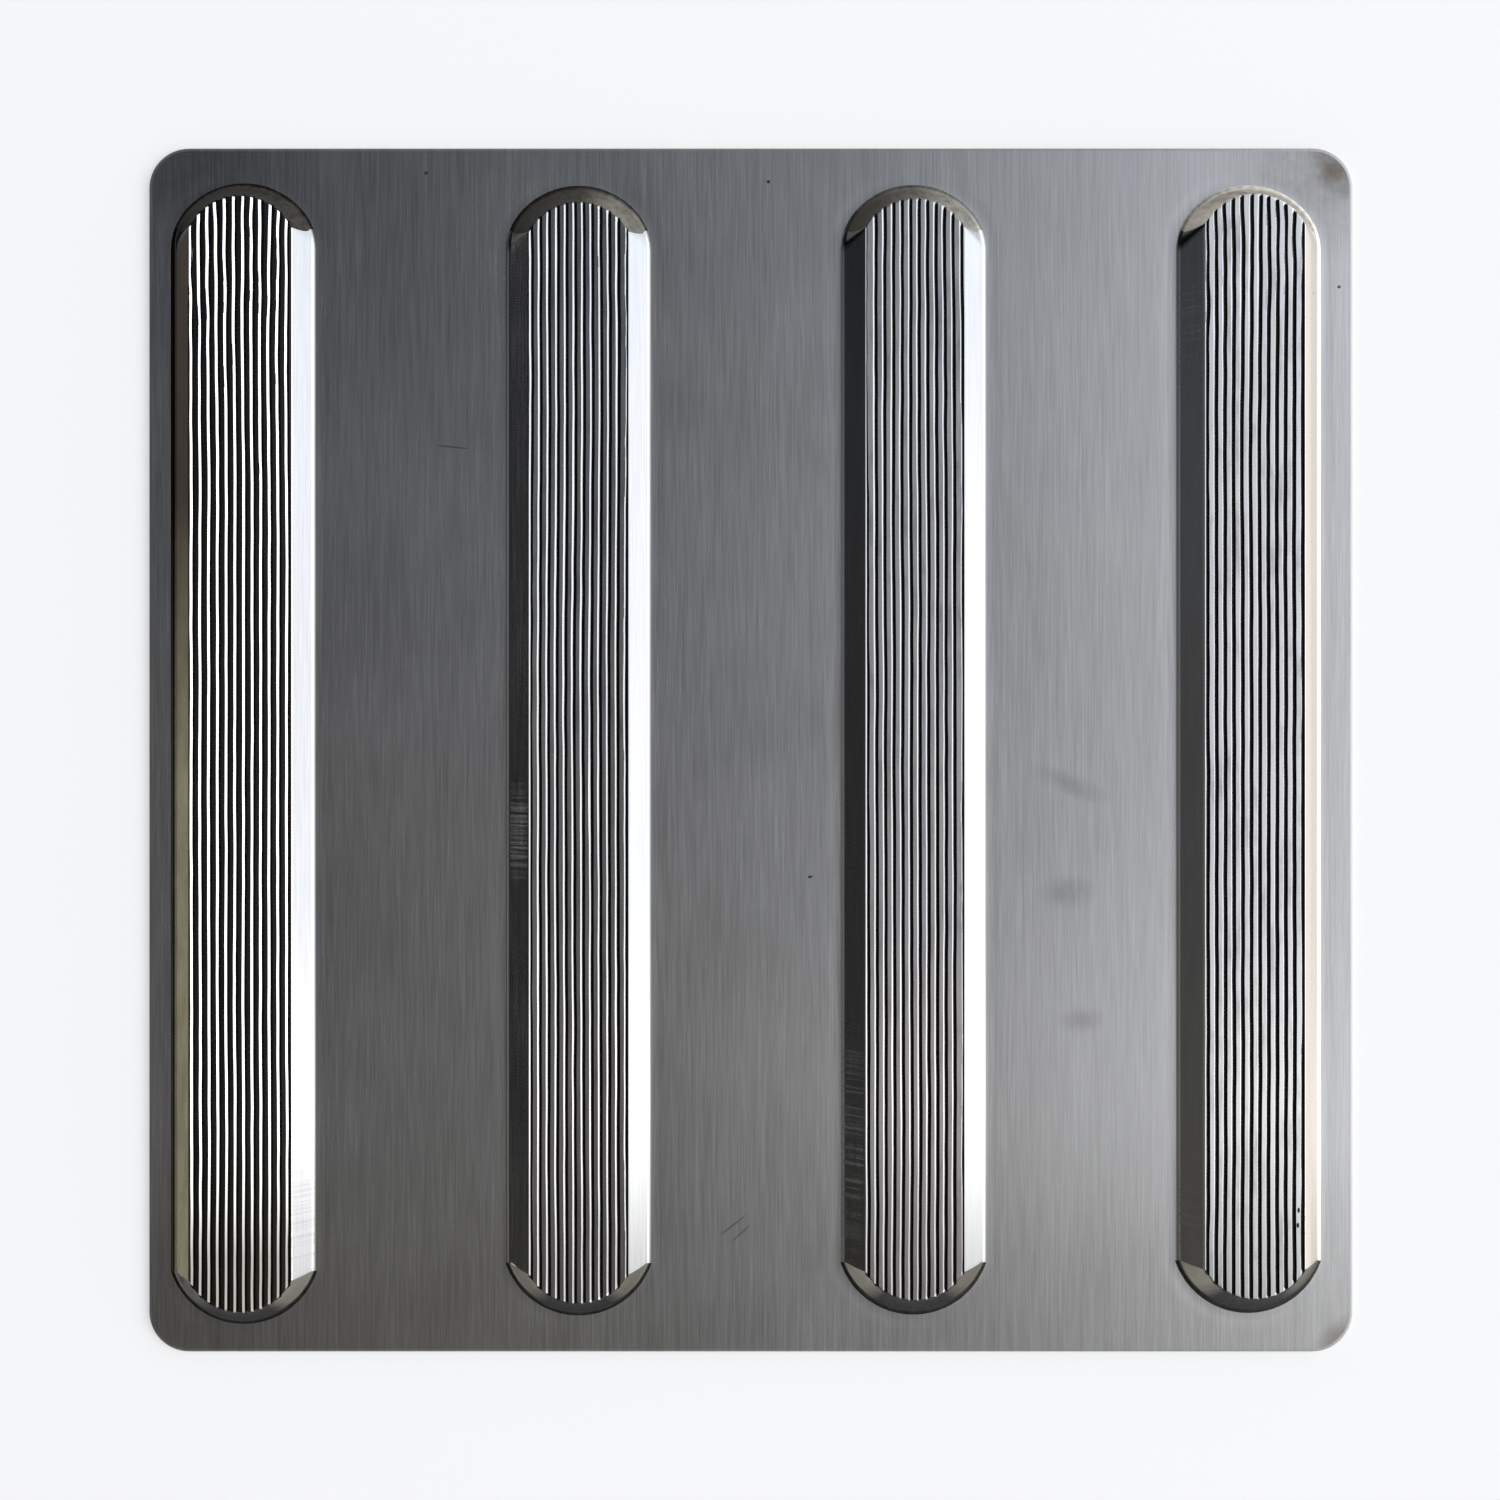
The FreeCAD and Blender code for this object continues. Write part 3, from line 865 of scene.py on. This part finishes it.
# %% The room as three ramps
# A stop is a part of the direction, from -1 to 1, with the brightness or the tint there
ROOM_ACROSS = ((-1.0, 0.016), (-0.96, 0.022), (-0.88, 0.036), (-0.78, 0.08), (-0.66, 0.18), (-0.56, 0.13),
               (-0.46, 0.14), (-0.38, 0.06), (-0.32, 0.01), (-0.27, 0.1), (-0.2, 0.23), (-0.13, 0.12),
               (-0.08, 0.1), (-0.02, 0.18), (0.03, 0.2), (0.09, 0.33), (0.15, 0.35), (0.21, 0.45),
               (0.29, 0.7), (0.36, 0.9), (0.45, 1.0), (0.56, 0.98), (0.69, 1.02), (0.87, 1.04),
               (0.96, 1.17), (1.0, 1.45))
ROOM_ALONG_LEFT = ((-1.0, (0.5, 0.47, 0.42)), (-0.6, (0.82, 0.78, 0.7)), (-0.35, (0.86, 0.8, 0.7)),
                   (-0.22, (1.02, 1.0, 0.95)), (0.0, (1.0, 1.0, 1.0)), (0.13, (0.95, 0.98, 1.02)),
                   (0.22, (0.8, 0.86, 0.93)), (0.36, (0.44, 0.49, 0.56)), (0.6, (0.7, 0.74, 0.8)),
                   (1.0, (0.5, 0.52, 0.55)))
ROOM_ALONG_RIGHT = ((-1.0, (0.5, 0.5, 0.5)), (-0.6, (0.85, 0.85, 0.85)), (-0.33, (0.7, 0.71, 0.71)),
                    (-0.23, (1.38, 1.39, 1.4)), (-0.1, (1.02, 1.04, 1.07)), (0.06, (0.98, 1.0, 1.04)),
                    (0.22, (1.0, 1.03, 1.1)), (0.35, (1.0, 1.06, 1.14)), (0.6, (0.9, 0.94, 1.0)),
                    (1.0, (0.5, 0.52, 0.55)))
LEFT_TO_RIGHT = (-0.25, 0.2)  # the left half's tints give way to the right half's over this part of X
BRIGHTEST = 2.0  # a ramp holds 0 to 1, so brightness is divided by this
TINT_PEAK = 1.4  # and tints by this, and the background multiplies them again
PALE_HORIZON = 0.85  # the far edge of the floor runs up into a low pale wall all round
HORIZON_TOP = (0.12, 0.45)  # height of that wall as a direction's Z, on the far left and elsewhere
FAR_LEFT = (-0.92, -0.7)  # the wall grows from one height to the other over this part of X
HORIZON_EDGE = (0.6, 1.0)  # it fades out over this share of its height
PALE_ENDS = 0.42  # the two ends of the room, beyond what the flat steel mirrors in the photograph
ENDS_START = (0.46, 0.72)  # they begin over this part of Y
PALE_BACKDROP = 0.93  # what the camera itself sees above the floor
print("stops of light across the room:", len(ROOM_ACROSS))

# %% Build the world
def ramp(tree, value, stops):
    """A colour ramp over a direction's component, from -1 to 1."""
    node = add(tree, "ShaderNodeValToRGB", {"Fac": between(tree, value, 0.0, 1.0, -1.0, 1.0)})
    elements = node.color_ramp.elements
    for number, (place, colour) in enumerate(stops):
        element = elements[number] if number < len(elements) else elements.new(1.0)
        element.position = (place + 1) / 2
        element.color = (*colour, 1.0)
    return node.outputs["Color"]


def grey(light):
    """A plain grey of the given brightness, as the background expects it."""
    return (light / (BRIGHTEST * TINT_PEAK),) * 3 + (1.0,)


def blend(tree, first, second, kind):
    """Two colours put together by a blend type."""
    return add(tree, "ShaderNodeMix", {"Factor": 1.0, 6: first, 7: second}, data_type="RGBA",
               blend_type=kind).outputs[2]


world = bpy.data.worlds.new("studio")
bpy.context.scene.world = world
world.use_nodes = True
tree = world.node_tree
tree.nodes.clear()
direction = add(tree, "ShaderNodeTexCoord").outputs["Generated"]
axes = add(tree, "ShaderNodeSeparateXYZ", {0: direction}).outputs
across = ramp(tree, axes["X"], [(place, (light / BRIGHTEST,) * 3) for place, light in ROOM_ACROSS])
tints = [ramp(tree, axes["Y"], [(place, [part / TINT_PEAK for part in tint]) for place, tint in stops])
         for stops in (ROOM_ALONG_LEFT, ROOM_ALONG_RIGHT)]
along = mix(tree, between(tree, axes["X"], 0.0, 1.0, *LEFT_TO_RIGHT), *tints)
colour = blend(tree, across, along, "MULTIPLY")
top = between(tree, axes["X"], *HORIZON_TOP, *FAR_LEFT)
height = add(tree, "ShaderNodeMath", {0: axes["Z"], 1: top}, operation="DIVIDE").outputs[0]
endward = add(tree, "ShaderNodeMath", {0: axes["Y"]}, operation="ABSOLUTE").outputs[0]
low = between(tree, height, 1.0, 0.0, *HORIZON_EDGE)
far = between(tree, endward, 0.0, 1.0, *ENDS_START)
for mask, light in ((low, PALE_HORIZON), (far, PALE_ENDS)):
    colour = blend(tree, colour, mix(tree, mask, grey(0.0), grey(light)), "LIGHTEN")
camera_ray = add(tree, "ShaderNodeLightPath").outputs["Is Camera Ray"]
colour = mix(tree, camera_ray, colour, grey(PALE_BACKDROP))
background = add(tree, "ShaderNodeBackground", {"Color": colour, "Strength": BRIGHTEST * TINT_PEAK})
add(tree, "ShaderNodeOutputWorld", {"Surface": background.outputs[0]})
print("nodes in the world:", len(tree.nodes))

# %% [markdown]
# ## A lamp
# One large softbox stands on the room's bright side. The pale floor takes most of its light. On the plate it
# shows chiefly in the bends on the right of each bar, which are tilted so that they mirror it.

# %% A large softbox on the bright side
def softbox(name, place, width, depth, power):
    """A soft lamp at place that faces the plate."""
    lamp = bpy.data.lights.new(name, "AREA")
    lamp.shape = "RECTANGLE"
    lamp.size, lamp.size_y = width, depth
    lamp.energy = power
    holder = bpy.data.objects.new(name, lamp)
    holder.location = place
    holder.rotation_euler = (-Vector(place)).to_track_quat("-Z", "Y").to_euler()
    bpy.context.scene.collection.objects.link(holder)


softbox("softbox_right", place=(1.9, 0.0, 1.7), width=3.2, depth=1.0, power=11.0)
print("lamps:", [lamp.name for lamp in bpy.data.lights])

# %% [markdown]
# ## Camera
# The photograph looks straight down on the plate. The camera's height follows from parallax: the tops of the
# outer bars look shifted outwards over their feet, by as much as a camera less than half a metre up would
# show.

# %% Camera straight above
CAMERA_HEIGHT = 0.381  # above the sheet's upper side
VIEW_WIDTH = 373.8 * MM  # what the picture's width spans on the sheet
CAMERA_X = -0.19 * MM  # the plate lies a little off the picture's middle
camera_data = bpy.data.cameras.new("camera")
camera_data.lens = camera_data.sensor_width * CAMERA_HEIGHT / VIEW_WIDTH
camera = bpy.data.objects.new("camera", camera_data)
camera.location = (CAMERA_X, 0.0, SHEET + CAMERA_HEIGHT)
bpy.context.scene.collection.objects.link(camera)
bpy.context.scene.camera = camera
bpy.context.scene.view_settings.view_transform = "Standard"
print("focal length in mm:", round(camera_data.lens, 1))
